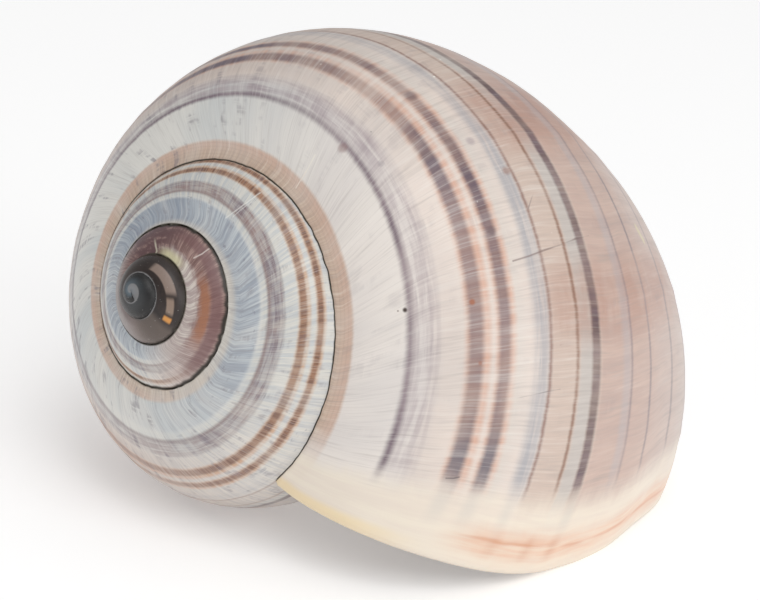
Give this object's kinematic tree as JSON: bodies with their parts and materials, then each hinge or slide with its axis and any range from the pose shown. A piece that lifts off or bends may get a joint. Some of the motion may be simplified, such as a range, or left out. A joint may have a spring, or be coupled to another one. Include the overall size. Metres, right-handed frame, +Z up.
{
  "type": "apple snail shell",
  "caption": "Empty globular snail shell with a low stepped spire, a wide banded body whorl and an open oval aperture, lying mouth down.",
  "frame": {"origin": "middle of the shell's bounding box, on the surface that it rests on", "axes": "+Z up; the shell lies on its lip and the underside of its body whorl with the aperture down; +X from the spire towards the base, so the apex is at the -X end, and +Y away from the side that the apex and upper whorls face"},
  "size_m": [0.0536, 0.043, 0.0399],
  "materials": {
    "shell": "smooth lime shell with a semi-gloss surface, greyish white to cream ground, purple-brown spiral bands, fine growth lines and a near-black apex; inside paler and glossier"
  },
  "bodies": {
    "root": {"shell": "shell"}
  },
  "joints": []
}
